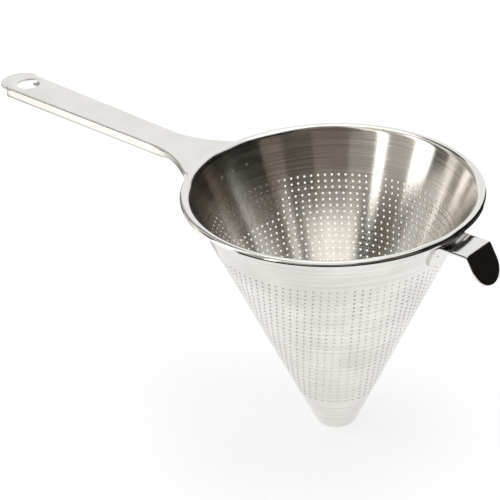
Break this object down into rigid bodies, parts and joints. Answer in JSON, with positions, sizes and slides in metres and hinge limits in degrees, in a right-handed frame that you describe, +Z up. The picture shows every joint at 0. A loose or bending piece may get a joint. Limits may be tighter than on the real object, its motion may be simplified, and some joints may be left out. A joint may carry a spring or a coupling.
{
  "type": "chinois strainer",
  "caption": "Conical perforated sheet-metal strainer with a rolled wired rim, a folded channel handle with a hang hole, and a bent hook that rests on a pot's edge.",
  "frame": {"origin": "centre of the rolled rim, on the cone's axis at the bead's mid height", "axes": "+Z up along the cone's axis with the tip down, +X towards the rest hook, handle along -X"},
  "size_m": [0.4066, 0.18, 0.1665],
  "materials": {
    "cone_steel": "polished inside, satin outside, lightly brushed round the axis",
    "wire_steel": "drawn wire, closed in by the rolled rim",
    "handle_steel": "satin",
    "hook_steel": "polished",
    "weld_steel": "small flat dimples"
  },
  "bodies": {
    "root": {"strainer_cone": "cone_steel", "rim_wire": "wire_steel", "handle": "handle_steel", "rest_hook": "hook_steel", "handle_spot_welds": "weld_steel", "hook_spot_welds": "weld_steel"}
  },
  "joints": []
}
